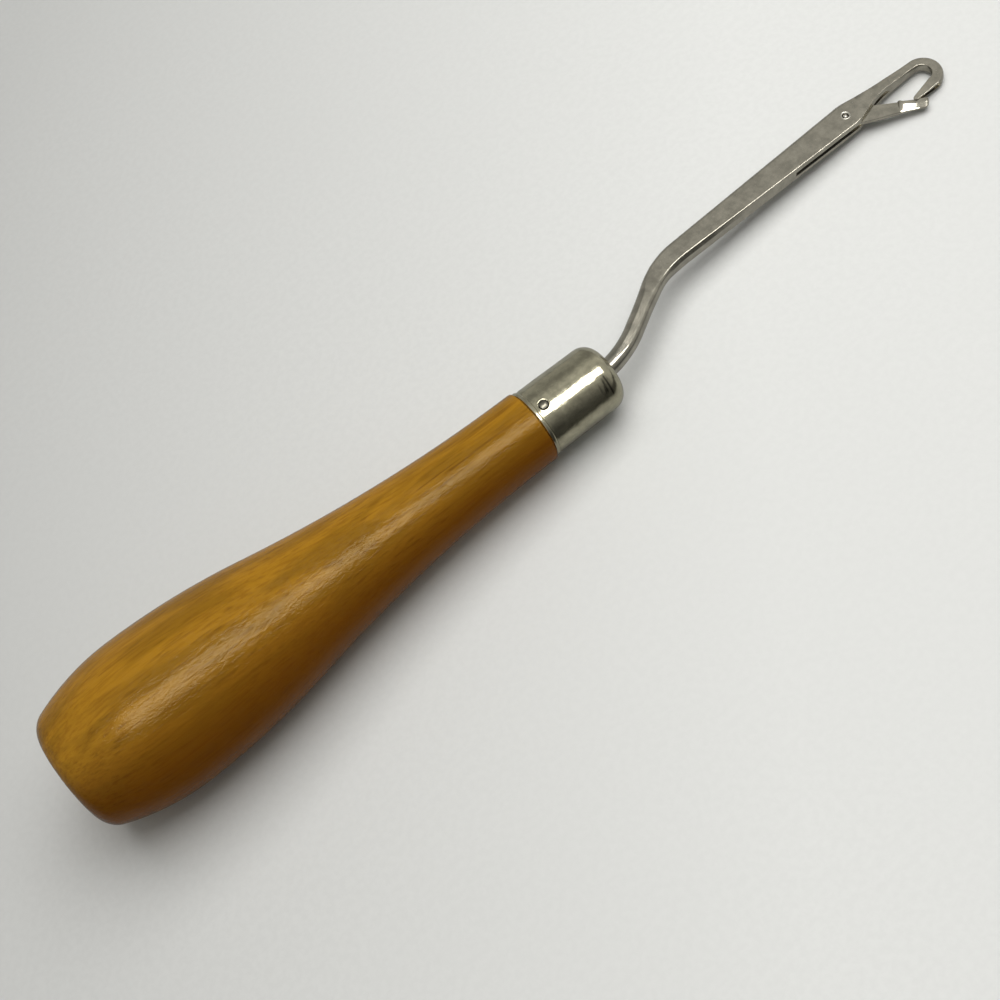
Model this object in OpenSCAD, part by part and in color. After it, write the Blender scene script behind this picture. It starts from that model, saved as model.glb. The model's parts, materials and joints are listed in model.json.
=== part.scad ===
// Latch hook for rug making: a turned wooden handle, a nickel ferrule and a cranked
// flat shank that ends in a hook, which a swinging latch closes.
// Each piece is drawn on the tool's own axes and then laid down as it rests on a table.
// Tool axes: X runs along the handle towards the hook, from the joint between wood and
// ferrule. The shank is cranked towards +Y, and its flats face +Z and -Z.

/* [Handle] */
// Length of the turned wood, from the ferrule to the butt
handle_len = 83; // [80:0.1:100]
// Diameter of the belly
belly_d = 24.4; // [21:0.1:28]
// Distance from the butt to the thickest place
belly_from_butt = 15.4; // [14:0.1:20]
// Diameter of the neck at its thinnest place
neck_d = 11.8; // [11.4:0.1:14]
// Distance from the ferrule to the thinnest place
neck_pos = 0.5; // [0:0.5:8]
// Radius of the long curve from the belly towards the neck
belly_front_r = 115; // [70:5:140]
// Radius of the curve from the belly towards the butt
belly_rear_r = 36; // [34:1:60]
// Radius of the rounded edge of the butt
butt_edge_r = 3.6; // [2:0.1:6]

/* [Ferrule] */
// Outer diameter of the ferrule
ferrule_d = 11; // [10:0.1:11.2]
// Length of the ferrule
ferrule_len = 14.2; // [11:0.1:18]
// Thickness of its metal
ferrule_wall = 0.5; // [0.4:0.05:0.8]
// Radius of its rounded front shoulder
nose_r = 2.5; // [1.5:0.1:3]
// Thickness of the rolled bead on its rim
bead_d = 0.9; // [0.6:0.05:1.2]
// How far the bead stands above the ferrule
bead_proud = 0.15; // [0.05:0.01:0.25]

/* [Ferrule pin] */
// Distance of the pin from the rim
pin_pos = 2.1; // [1.9:0.1:6]
// Angle of the pin round the ferrule, from the flats' upper side
pin_turn = 12; // [0:1:60]
// Diameter of the pin
pin_d = 0.8; // [0.6:0.05:1]
// Diameter of its head
pin_head_d = 1.3; // [1.1:0.05:1.6]
// Height of its head
pin_head_h = 0.16; // [0.1:0.02:0.25]
// Length of the pin under its head
pin_len = 3; // [2:0.1:3.3]

/* [Shank] */
// Diameter of the round wire
wire_d = 3; // [2.6:0.1:3.4]
// Length of the tang inside the wood, behind the ferrule's rim
tang_len = 32; // [20:1:50]
// How far inside the ferrule's front the crank starts
crank_inset = 2; // [0:0.1:2.5]
// Radius of the crank's first bend
first_bend_r = 18; // [12:0.5:20]
// Radius of the crank's second bend
second_bend_r = 15; // [10:0.5:18]
// Slope of the crank
crank_angle = 31; // [27:1:40]
// Sideways offset at the end of the crank
crank_offset = 8.9; // [7:0.1:12]
// Slope that the flattened length keeps
shank_rise = 1.7; // [0:0.1:3]
// Length of the ramp where the wire turns flat
ramp_len = 4; // [3:0.1:5]

/* [Flattened length] */
// Thickness over the flats
flat_t = 2; // [1.6:0.05:2.2]
// How much fuller than a half round its sides are
side_full = 0.02; // [0.01:0.01:0.1]
// Width at the end of the crank
shank_w = 4; // [3.6:0.1:4.4]
// Width at the rivet
head_w = 5.2; // [4.8:0.1:6]
// Distance from the end of the crank to the rivet
rivet_pos = 35.1; // [28:0.1:45]

/* [Hook] */
// Distance from the rivet to the centre of the bow
hook_reach = 14.35; // [12.5:0.05:18]
// How far the centre of the bow lies below the shank's middle line
bow_drop = 2.5; // [2:0.05:3]
// Inner radius of the bow
bow_in_r = 1.76; // [1.5:0.02:2]
// Width of the bow's metal
bow_w = 1.32; // [1:0.02:1.5]
// How much thinner the bow is at its top than at its middle
bow_thin = 0.12; // [0:0.02:0.3]
// Slope of the point away from the shank
point_angle = 6; // [0:1:10]
// Distance from the bow's centre back to the tip
point_len = 4.9; // [4:0.1:6]
// Width of the point's limb where its bevel starts
point_w = 1; // [0.8:0.05:1.2]
// Thickness of the tip
tip_t = 0.5; // [0.3:0.05:0.6]

/* [Latch] */
// Thickness of the latch's blade
latch_t = 0.6; // [0.4:0.05:0.8]
// Diameter of its eye
eye_d = 2.84; // [2.4:0.02:3]
// Width of the blade where the cup starts
latch_w = 2.1; // [1.6:0.05:2.4]
// Outer diameter of the cup
cup_d = 1.8; // [1.7:0.05:2]
// Thickness of the cup's wall
cup_wall = 0.33; // [0.2:0.01:0.4]
// Straight length of the cup, between its round ends
cup_len = 2.8; // [2.4:0.1:3.5]
// Height of the hook's tip above the latch's middle line
tip_seat = 0.5; // [0.4:0.05:0.6]

/* [Slot and rivet] */
// Diameter of the saw that cuts the slot
saw_d = 41.6; // [36:0.2:44]
// How far the saw's centre lies behind the rivet
saw_back = 0.7; // [0:0.1:1.5]
// Diameter of the rivet
rivet_d = 1.2; // [1:0.05:1.4]
// Depth of the dimple in the rivet's ends
dimple_h = 0.14; // [0.05:0.01:0.2]
// Chamfer of the shank's rivet hole
rivet_chamfer = 0.14; // [0.05:0.01:0.2]

/* [Fits] */
// Gap on each side of the latch in its slot
slot_gap = 0.08; // [0.05:0.01:0.15]
// Gap round the latch's eye
eye_gap = 0.12; // [0.1:0.01:0.3]
// Radial play of the latch on its rivet
rivet_play = 0.04; // [0.02:0.01:0.08]
// Radial gap of pieces that are driven together
drive_gap = 0.02; // [0.01:0.01:0.05]
// Gap where a piece stops short of another
end_gap = 0.2; // [0.1:0.05:0.4]

/* [Lying on a table] */
// Turn about the handle's axis, with the crank up
rest_roll = 6; // [3:0.5:10]

/* [Hidden] */
$fn = 64;

wood_color = [0.55, 0.36, 0.14];
nickel_color = [0.72, 0.71, 0.66];
steel_color = [0.52, 0.50, 0.46];
bright_steel_color = [0.68, 0.66, 0.60];

// Handle: arcs of its outline, each touching the next
belly_r = belly_d / 2;
neck_r = neck_d / 2;
belly_x = belly_from_butt - handle_len;
butt_edge_x = butt_edge_r - handle_len;
rear_axis_r = belly_r - belly_rear_r;
butt_flat_r = rear_axis_r + sqrt(pow(belly_rear_r - butt_edge_r, 2) - pow(belly_x - butt_edge_x, 2));
butt_turn = acos((belly_x - butt_edge_x) / (belly_rear_r - butt_edge_r));
front_axis_r = belly_r - belly_front_r;
belly_to_neck = -neck_pos - belly_x;
belly_rise = belly_r - neck_r;
arc_sum = (pow(belly_to_neck, 2) + pow(belly_rise, 2)) / (2 * belly_rise);
neck_arc_r = arc_sum - belly_front_r;
flank_turn = asin(belly_to_neck / arc_sum);
neck_end_turn = asin(neck_pos / neck_arc_r);
arc_steps = 14;
wood_edge = 0.25;

// Ferrule
wire_r = wire_d / 2;
ferrule_r = ferrule_d / 2;
bore_r = ferrule_r - ferrule_wall;
nose_x = ferrule_len - nose_r;
bead_r = bead_d / 2;
bead_axis_r = ferrule_r + bead_proud - bead_r;
bead_gap = 0.08;
nose_hole_r = wire_r + end_gap;
tenon_r = bore_r - drive_gap;
tenon_len = min(ferrule_len - ferrule_wall, ferrule_len - crank_inset) - end_gap;
tenon_nose_r = nose_r - ferrule_wall;
pin_head_r = pin_head_d / 2;
pin_ball_r = (pow(pin_head_r, 2) + pow(pin_head_h, 2)) / (2 * pin_head_h);

// Shank: the crank's corners on the tool's axes
half_t = flat_t / 2;
side_r = half_t + side_full;
crank_dir = [cos(crank_angle), sin(crank_angle)];
crank_right = [sin(crank_angle), -cos(crank_angle)];
crank_x = ferrule_len - crank_inset;
first_rise = first_bend_r * (1 - cos(crank_angle));
second_rise = second_bend_r * (cos(shank_rise) - cos(crank_angle));
crank_len = (crank_offset - first_rise - second_rise) / sin(crank_angle);
crank_from = [crank_x, 0] + first_bend_r * [sin(crank_angle), 1 - cos(crank_angle)];
crank_to = crank_from + crank_len * crank_dir;
second_centre = crank_to + second_bend_r * crank_right;
body_from = second_centre + second_bend_r * [-sin(shank_rise), cos(shank_rise)];
body_dir = [cos(shank_rise), sin(shank_rise)];
body_left = [-sin(shank_rise), cos(shank_rise)];
rivet_at = body_from + rivet_pos * body_dir;

// Round sides of the flattened length. A straight piece enters the bend before it by
// join_len, and is thinner by join_step, so that no two round faces nearly coincide.
join_len = 0.2;
join_step = 0.01;
side_crank_w = shank_w / 2 - side_r;
side_end_w = head_w / 2 - side_r;
side_turn = atan((side_end_w - side_crank_w) / rivet_pos);
side_past = 4;
flare_len = 4;
flare_w = sqrt(pow(wire_r, 2) - pow(half_t, 2)) - 0.07;

// Hook, on axes that start at the rivet: first along the shank, second across it
bow_mid_r = bow_in_r + bow_w / 2;
bow_out_r = bow_in_r + bow_w;
bow_at = [hook_reach, -bow_drop];
bow_in_at = bow_at + [0, bow_thin];
throat_start = [-0.1, -head_w / 2 - 0.15];
throat_end = [hook_reach - 5.65, bow_in_at[1] + bow_in_r + 0.12];
shoulder_start = [0.4, head_w / 2 + 0.1];
shoulder_end = [hook_reach - 5.3, bow_out_r - bow_drop + 0.3];
point_dir = [-cos(point_angle), -sin(point_angle)];
point_in = bow_in_at + bow_in_r * [sin(point_angle), -cos(point_angle)];
point_out = bow_at + bow_out_r * [sin(point_angle), -cos(point_angle)];
bevel_len = 0.9;
tip_at = point_in + (point_len + bow_in_r * sin(point_angle)) * point_dir + [0, -0.72 * point_w];
tip_blunt = [0.28, -0.24];
thin_from = hook_reach + 1;
thin_slope = (half_t - tip_t / 2) / (thin_from - tip_at[0]);

// Latch, on axes that start at the rivet and run along the latch
tip_dist = norm(tip_at);
latch_down = -atan2(tip_at[1], tip_at[0]) + asin(tip_seat / tip_dist);
cup_mid = sqrt(pow(tip_dist, 2) - pow(tip_seat, 2));
cup_r = cup_d / 2;
cup_in_r = cup_r - cup_wall;
cup_off = tip_seat + 0.12;
cup_rim = cup_off + 0.16;
cup_from = cup_mid - cup_len / 2;
cup_to = cup_mid + cup_len / 2;
eye_r = eye_d / 2;
keel_w = latch_w / 2 - 0.07;
rivet_r = rivet_d / 2;

// Slot
slot_w = latch_t + 2 * slot_gap;
slot_top = eye_r + eye_gap;
saw_r = saw_d / 2;

// Lying down: the belly and the rim of the bow touch the table
bow_xy = rivet_at + bow_at[0] * body_dir + bow_at[1] * body_left;
function belly_height(pitch) = belly_front_r + belly_x * sin(pitch) + front_axis_r * cos(pitch);
function bow_height(pitch) =
    bow_xy[0] * sin(pitch) - bow_xy[1] * sin(rest_roll) * cos(pitch)
    + bow_out_r * norm([sin(pitch), sin(rest_roll) * cos(pitch)])
    + half_t * cos(rest_roll) * cos(pitch);
function find_pitch(low, high, steps) =
    steps == 0 ? (low + high) / 2
    : belly_height((low + high) / 2) > bow_height((low + high) / 2)
        ? find_pitch((low + high) / 2, high, steps - 1)
        : find_pitch(low, (low + high) / 2, steps - 1);
rest_pitch = find_pitch(0, 12, 40);
rest_height = belly_height(rest_pitch);
low_x = butt_edge_x * cos(rest_pitch) - butt_flat_r * sin(rest_pitch) - butt_edge_r;
high_x = bow_xy[0] * cos(rest_pitch) + bow_xy[1] * sin(rest_roll) * sin(rest_pitch)
    + bow_out_r * norm([cos(rest_pitch), sin(rest_roll) * sin(rest_pitch)])
    + half_t * cos(rest_roll) * sin(rest_pitch);
high_y = max(belly_r, (rivet_at[1] + side_end_w) * cos(rest_roll) + side_r);
rest_shift = [-(low_x + high_x) / 2, (belly_r - high_y) / 2, rest_height];

module lying() {
    translate(rest_shift) rotate([rest_roll, rest_pitch, 0]) children();
}

// Turns a lathe outline, drawn as [radius, place along the axis], round the tool's axis
module turned() {
    rotate([0, 90, 0]) rotate_extrude() children();
}

module rod(from, turn, length, radius) {
    translate([from[0], from[1], 0]) rotate([0, 0, turn]) rotate([0, 90, 0]) cylinder(h = length, r = radius);
}

module bent_rod(centre, start, sweep, bend_r, radius) {
    translate([centre[0], centre[1], 0]) rotate([0, 0, start])
        rotate_extrude(angle = sweep) translate([bend_r, 0]) circle(radius);
}

// Places what is drawn from the rivet, along and across the shank
module at_rivet() {
    translate([rivet_at[0], rivet_at[1], 0]) rotate([0, 0, shank_rise]) children();
}

module at_pin() {
    translate([pin_pos, 0, 0]) rotate([pin_turn, 0, 0]) children();
}

function arc(centre, radius, from, to, steps) =
    [for (i = [0:steps]) let (a = from + (to - from) * i / steps)
        centre + radius * [cos(a), sin(a)]];

function bezier(a, b, c, d, steps) =
    [for (i = [0:steps]) let (t = i / steps, s = 1 - t)
        s * s * s * a + 3 * s * s * t * b + 3 * s * t * t * c + t * t * t * d];

// Outline of the wood, from the centre of the butt to the ferrule's rim
function handle_outline() = concat(
    [[0, -handle_len]],
    arc([butt_flat_r, butt_edge_x], butt_edge_r, -90, butt_turn - 90, arc_steps),
    arc([rear_axis_r, belly_x], belly_rear_r, butt_turn - 90, 0, arc_steps),
    arc([front_axis_r, belly_x], belly_front_r, 0, flank_turn, arc_steps),
    arc([neck_r + neck_arc_r, -neck_pos], neck_arc_r, 180 + flank_turn, 180 - neck_end_turn, arc_steps)
);

module handle() {
    color(wood_color) lying() difference() {
        union() {
            turned() polygon(concat(
                [for (p = handle_outline()) if (p[1] < -wood_edge) p],
                [[neck_r, -wood_edge], [neck_r - wood_edge, 0], [0, 0]]
            ));
            turned() union() {
                translate([0, -1]) square([tenon_r, nose_x + 1]);
                square([nose_r < ferrule_r ? ferrule_r - nose_r : 0.1, tenon_len]);
                intersection() {
                    translate([ferrule_r - nose_r, nose_x]) circle(tenon_nose_r - drive_gap);
                    square([ferrule_r, tenon_len]);
                }
            }
        }
        rod([-tang_len - end_gap, 0], 0, tang_len + ferrule_len, wire_r + drive_gap);
        at_pin() translate([0, 0, ferrule_r - pin_len - end_gap]) cylinder(h = pin_len + 1, r = pin_d / 2 + drive_gap);
    }
}

module ferrule() {
    color(nickel_color) lying() difference() {
        turned() difference() {
            union() {
                translate([0, bead_d + bead_gap]) square([ferrule_r, nose_x - bead_d - bead_gap]);
                square([bead_axis_r, ferrule_len / 2]);
                translate([bead_axis_r, bead_r]) circle(bead_r);
                square([ferrule_r - nose_r, ferrule_len]);
                translate([ferrule_r - nose_r, nose_x]) circle(nose_r);
            }
            translate([0, -1]) square([bore_r, nose_x + 1]);
            translate([0, -1]) square([ferrule_r - nose_r, ferrule_len - ferrule_wall + 1]);
            translate([ferrule_r - nose_r, nose_x]) circle(tenon_nose_r);
            square([nose_hole_r, ferrule_len + 1]);
        }
        at_pin() cylinder(h = ferrule_d, r = pin_d / 2 + drive_gap);
    }
}

module ferrule_pin() {
    color(bright_steel_color) lying() at_pin() union() {
        translate([0, 0, ferrule_r - pin_len]) cylinder(h = pin_len + pin_head_h / 2, r = pin_d / 2);
        intersection() {
            translate([0, 0, ferrule_r + pin_head_h - pin_ball_r]) sphere(pin_ball_r);
            translate([0, 0, ferrule_r]) cylinder(h = pin_head_h * 2, r = pin_head_r * 2);
        }
    }
}

module hook_shank() {
    color(steel_color) lying() difference() {
        union() {
            round_wire();
            flattened_length();
            at_rivet() hook();
        }
        at_rivet() {
            slot();
            cylinder(h = flat_t * 2, r = rivet_r, center = true);
            for (side = [0, 180]) rotate([side, 0, 0])
                translate([0, 0, half_t - rivet_chamfer])
                    cylinder(h = rivet_chamfer * 2, r1 = rivet_r, r2 = rivet_r + rivet_chamfer * 2);
        }
    }
}

// Tang, first bend and crank, with the ramps on which the wire turns flat
module round_wire() {
    rod([-tang_len, 0], 0, tang_len + crank_x + join_len, wire_r);
    bent_rod([crank_x, first_bend_r], -90, crank_angle, first_bend_r, wire_r + join_step);
    on_crank() difference() {
        rod([-join_len, 0], 0, crank_len + 2 * join_len, wire_r);
        for (side = [0, 180]) rotate([side, 0, 0]) rotate([90, 0, 0])
            linear_extrude(height = wire_d * 2, center = true) polygon([
                [crank_len - ramp_len, wire_r + 0.01],
                [crank_len, half_t],
                [crank_len + 1, half_t],
                [crank_len + 1, wire_d],
                [crank_len - ramp_len, wire_d]
            ]);
    }
}

module on_crank() {
    translate([crank_from[0], crank_from[1], 0]) rotate([0, 0, crank_angle]) children();
}

module on_body() {
    translate([body_from[0], body_from[1], 0]) rotate([0, 0, shank_rise]) children();
}

module slab() {
    translate([-20, -20, -half_t]) cube([100, 40, flat_t]);
}

module flattened_length() {
    // the flare on the crank
    on_crank() intersection() {
        union() {
            for (side = [-1, 1]) rod([crank_len - flare_len, side * side_crank_w], 0, flare_len + join_len, side_r);
            translate([crank_len - flare_len, -side_crank_w, -half_t])
                cube([flare_len + join_len, 2 * side_crank_w, flat_t]);
        }
        linear_extrude(height = flat_t, center = true) polygon([
            [crank_len - flare_len, -flare_w],
            [crank_len, -shank_w / 2 - join_step],
            [crank_len + 1, -shank_w / 2 - join_step],
            [crank_len + 1, shank_w / 2 + join_step],
            [crank_len, shank_w / 2 + join_step],
            [crank_len - flare_len, flare_w]
        ]);
    }
    // the second bend
    translate([second_centre[0], second_centre[1], 0]) rotate([0, 0, shank_rise + 90])
        rotate_extrude(angle = crank_angle - shank_rise) translate([second_bend_r, 0]) intersection() {
            union() {
                for (side = [-1, 1]) translate([side * side_crank_w, 0]) circle(side_r + join_step);
                square([2 * side_crank_w, flat_t], center = true);
            }
            square([shank_w + 1, flat_t], center = true);
        }
    // the straight length
    difference() {
        union() {
            on_body() linear_extrude(height = flat_t, center = true) polygon([
                [-join_len, -side_crank_w],
                [rivet_pos + side_past, -side_end_w - side_past * tan(side_turn)],
                [rivet_pos + side_past, side_end_w + side_past * tan(side_turn)],
                [-join_len, side_crank_w]
            ]);
            on_body() intersection() {
                for (side = [-1, 1]) translate([0, side * side_crank_w, 0]) rotate([0, 0, side * side_turn])
                    rod([-join_len, 0], 0, rivet_pos + side_past + join_len, side_r);
                slab();
            }
        }
        at_rivet() linear_extrude(height = flat_t * 2, center = true) union() {
            polygon(concat(throat_curve(), [[throat_end[0], -10], [throat_start[0], -10]]));
            polygon(concat(shoulder_curve(), [[shoulder_end[0], 10], [shoulder_start[0], 10]]));
        }
    }
}

// The cut edge that turns from the shank's near side into the limb over the opening
function throat_curve() = bezier(throat_start,
    throat_start + [3, 0.85], throat_end - [3.4, 0.25], throat_end, 12);
// The cut edge behind the head, from its widest place to the limb
function shoulder_curve() = bezier(shoulder_start,
    shoulder_start + [2.2, -0.95], shoulder_end + [-2.8, 0.2], shoulder_end, 12);

// Limb over the opening, bow and point
module hook() {
    difference() {
        linear_extrude(height = flat_t, center = true) union() {
            polygon(concat(
                [for (p = throat_curve()) if (p[1] > -side_end_w) p],
                [bow_in_at + [0, bow_in_r], bow_at + [0, bow_out_r]],
                [for (i = [12:-1:0]) if (shoulder_curve()[i][1] < side_end_w + 0.3) shoulder_curve()[i]]
            ));
            intersection() {
                difference() {
                    translate(bow_at) circle(bow_out_r);
                    translate(bow_in_at) circle(bow_in_r);
                }
                polygon([
                    bow_at + [0, 2 * bow_out_r],
                    bow_at + [2 * bow_out_r, 2 * bow_out_r],
                    bow_at + [2 * bow_out_r, -2 * bow_out_r],
                    bow_at + 2 * bow_out_r * [sin(point_angle), -cos(point_angle)],
                    bow_at
                ]);
            }
            polygon([
                point_in,
                tip_at + [bevel_len, 0.72 * point_w],
                tip_at,
                tip_at + tip_blunt,
                tip_at + [1.5, 0.72 * point_w - point_w - 0.02],
                point_out
            ]);
        }
        for (side = [0, 180]) rotate([side, 0, 0]) translate([0, side == 0 ? -10 : 3, 0])
            rotate([90, 0, 0]) mirror([0, 0, 1]) linear_extrude(height = 7)
                polygon([
                    [tip_at[0] - 1, tip_t / 2 - thin_slope],
                    [thin_from, half_t],
                    [thin_from, flat_t],
                    [tip_at[0] - 1, flat_t]
                ]);
    }
}

// The saw's cut. It opens the near side of the head and runs out along the shank.
module slot() {
    intersection() {
        translate([-saw_back, slot_top - saw_r, 0]) cylinder(h = slot_w, r = saw_r, center = true, $fn = 180);
        translate([-saw_r, -head_w / 2 - 1, -flat_t]) cube([saw_d, head_w + 2, 2 * flat_t]);
    }
}

module latch() {
    color(steel_color) lying() at_rivet() rotate([0, 0, -latch_down]) difference() {
        union() {
            linear_extrude(height = latch_t, center = true) union() {
                circle(eye_r);
                polygon([
                    [0, eye_r],
                    [cup_from * 0.45, eye_r * 0.98],
                    [cup_from - cup_r * 0.8, latch_w / 2],
                    [cup_from, cup_rim],
                    [cup_to, cup_rim],
                    [cup_to + 0.7, cup_off - 0.3],
                    [cup_to + 0.5, -0.5],
                    [cup_to, -keel_w],
                    [cup_from - cup_r * 0.8, -latch_w / 2],
                    [cup_from * 0.45, -eye_r * 0.98],
                    [0, -eye_r]
                ]);
            }
            intersection() {
                translate([0, cup_off, 0]) capsule(cup_from, cup_to, cup_r);
                translate([0, cup_rim - 5, -5]) cube([cup_to + 5, 5, 10]);
            }
        }
        cylinder(h = latch_t * 2, r = rivet_r + rivet_play, center = true);
        translate([0, cup_off, 0]) cup_hollow();
    }
}

// A round bar with ball ends, along the latch
module capsule(from, to, radius) {
    rod([from, 0], 0, to - from, radius);
    translate([from, 0, 0]) sphere(radius);
    translate([to, 0, 0]) sphere(radius);
}

// A trough with upright ends, a little narrower above its round floor
module cup_hollow() {
    inner_from = cup_from + cup_in_r * 0.6;
    upright_r = cup_in_r - join_step;
    intersection() {
        union() {
            rod([cup_from - cup_r, 0], 0, cup_len + 3 * cup_r, cup_in_r);
            translate([cup_from - cup_r, 0, -cup_in_r]) cube([cup_len + 3 * cup_r, 2, 2 * cup_in_r]);
        }
        translate([0, -cup_r, 0]) rotate([-90, 0, 0]) linear_extrude(height = 3) union() {
            for (x = [inner_from, cup_to]) translate([x, 0]) circle(upright_r);
            translate([inner_from, -upright_r]) square([cup_to - inner_from, 2 * upright_r]);
        }
    }
}

module latch_rivet() {
    color(bright_steel_color) lying() at_rivet() difference() {
        cylinder(h = flat_t, r = rivet_r, center = true);
        for (side = [0, 180]) rotate([side, 0, 0]) translate([0, 0, half_t + rivet_r - dimple_h]) sphere(rivet_r);
    }
}

handle();
ferrule();
ferrule_pin();
hook_shank();
latch();
latch_rivet();
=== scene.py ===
"""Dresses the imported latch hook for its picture: varnished wood, nickel plate and worn steel.

Every shape is worked out on the tool's own axes, in metres. X runs along the handle from the
joint between wood and ferrule towards the hook, the shank is cranked towards Y, and its flats
face Z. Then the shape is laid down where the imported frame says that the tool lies.
"""

import json
import math

import bpy
import numpy as np
from mathutils import Matrix, Vector

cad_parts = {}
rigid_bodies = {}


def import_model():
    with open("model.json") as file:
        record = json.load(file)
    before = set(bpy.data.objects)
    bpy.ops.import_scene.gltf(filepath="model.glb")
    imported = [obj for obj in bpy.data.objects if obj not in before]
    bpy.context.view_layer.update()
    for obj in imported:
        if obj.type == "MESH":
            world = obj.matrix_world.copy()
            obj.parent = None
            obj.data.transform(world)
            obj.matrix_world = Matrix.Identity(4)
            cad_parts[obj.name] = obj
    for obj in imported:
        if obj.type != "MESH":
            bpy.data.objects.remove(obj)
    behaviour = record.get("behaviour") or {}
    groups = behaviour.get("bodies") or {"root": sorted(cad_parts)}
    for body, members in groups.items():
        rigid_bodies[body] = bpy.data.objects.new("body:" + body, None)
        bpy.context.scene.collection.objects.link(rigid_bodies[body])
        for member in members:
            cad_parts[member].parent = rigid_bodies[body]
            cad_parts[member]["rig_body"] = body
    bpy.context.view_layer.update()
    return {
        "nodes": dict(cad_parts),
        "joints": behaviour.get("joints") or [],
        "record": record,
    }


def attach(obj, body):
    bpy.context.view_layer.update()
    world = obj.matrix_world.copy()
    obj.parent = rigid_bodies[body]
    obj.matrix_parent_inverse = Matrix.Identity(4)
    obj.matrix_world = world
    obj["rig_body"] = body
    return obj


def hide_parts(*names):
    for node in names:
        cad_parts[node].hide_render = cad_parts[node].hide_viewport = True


bl_info = {
    "name": "Latch hook",
    "version": (1, 0, 0),
    "blender": (4, 5, 0),
    "location": "3D View > Sidebar > Latch hook",
    "description": "Makes the visible surfaces of a latch hook round its packed frame",
    "category": "Object",
}

MM = 0.001

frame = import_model()
BUTT_FACE = frame["record"]["mounts"][0]
LATCH_JOINT = frame["joints"][0]


# Placing


def unit(v):
    """A vector of length 1 in the same direction."""
    return v / np.linalg.norm(v)


def tool_axes():
    """The tool's axes as the rows of a matrix, in the row frame.

    X is the butt face's normal turned round, Z is the latch's axis turned round, and Y is
    their cross product.
    """
    x = unit(-np.array(BUTT_FACE["axis"], float))
    z = -np.array(LATCH_JOINT["axis"], float)
    z = unit(z - x * (x @ z))
    return np.stack([x, np.cross(z, x), z])


def tool_origin():
    """The joint between wood and ferrule: one handle's length from the butt, along X."""
    length = bpy.context.scene.latch_hook_handle.length
    return np.array(BUTT_FACE["pos_m"], float) + length * tool_axes()[0]


def to_row(points):
    """Points on the tool's axes to the row frame: each coordinate times its axis, summed."""
    return points @ tool_axes() + tool_origin()


def to_tool(points):
    """Points in the row frame to the tool's axes, the inverse of to_row."""
    return (points - tool_origin()) @ tool_axes().T


def turned_by(degrees):
    """A plane rotation, as a matrix for points that are rows."""
    a = math.radians(degrees)
    return np.array([[math.cos(a), math.sin(a)], [-math.sin(a), math.cos(a)]])


# Curves


def arc(centre, radius, start, end, count):
    """Points on a circle from one angle to another, in degrees, both ends included."""
    a = np.radians(np.linspace(start, end, count))
    return np.array(centre) + radius * np.stack([np.cos(a), np.sin(a)], axis=1)


def straight(a, b, count):
    """Points evenly spaced on a line, both ends included."""
    t = np.linspace(0, 1, count)[:, None]
    return np.array(a) * (1 - t) + np.array(b) * t


def joined(*runs):
    """Runs of points one after another, without the point that two runs share."""
    return np.concatenate([runs[0]] + [r[1:] for r in runs[1:]])


def smooth_value(x, at, values):
    """A value along x, or a row of values, through given places.

    Each span is a Hermite cubic. Its end slopes are those of the parabola through a place
    and its two neighbours.
    """
    at, v = np.array(at, float), np.array(values, float)
    slope = np.gradient(v, at, axis=0)
    x = np.clip(x, at[0], at[-1])
    i = np.clip(np.searchsorted(at, x, side="right") - 1, 0, len(at) - 2)
    h = at[i + 1] - at[i]
    t = (x - at[i]) / h
    if v.ndim > 1:
        h, t = h[:, None], t[:, None]
    return (
        (2 * t**3 - 3 * t**2 + 1) * v[i]
        + (t**3 - 2 * t**2 + t) * h * slope[i]
        + (3 * t**2 - 2 * t**3) * v[i + 1]
        + (t**3 - t**2) * h * slope[i + 1]
    )


def smooth_line(points, count):
    """The same cubic through points, evenly spaced in chord length."""
    p = np.array(points, float)
    chords = np.linalg.norm(np.diff(p, axis=0), axis=1)
    at = np.concatenate([[0], np.cumsum(chords)])
    return smooth_value(np.linspace(0, at[-1], count), at, p)


def eased(x, start, end):
    """Goes smoothly from 0 at start to 1 at end: 3 t squared less 2 t cubed."""
    t = np.clip((x - start) / (end - start), 0, 1)
    return t * t * (3 - 2 * t)


def swelling(x, start, full):
    """Goes from 0 at start to 1 at full as a quarter of a circle does."""
    t = np.clip((full - x) / (full - start), 0, 1)
    return np.sqrt(1 - t * t)


# Meshes


def placed(name, data):
    """A new object in the scene, for a mesh, a lamp or a camera."""
    made = bpy.data.objects.new(name, data)
    bpy.context.scene.collection.objects.link(made)
    return made


def grid_faces(rows, columns, hollow):
    """Quads between neighbouring rings, and from the last ring to the first if hollow."""
    i = np.arange(rows if hollow else rows - 1)[:, None]
    j = np.arange(columns)[None, :]
    i2, j2 = (i + 1) % rows, (j + 1) % columns
    quads = [i * columns + j, i2 * columns + j, i2 * columns + j2, i * columns + j2]
    return np.stack(quads, axis=-1).reshape(-1, 4)


def cap_faces(ring, pole):
    """Triangles from a ring of points to a pole."""
    return np.stack([ring, np.roll(ring, -1), np.full(len(ring), pole)], axis=1)


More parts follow.
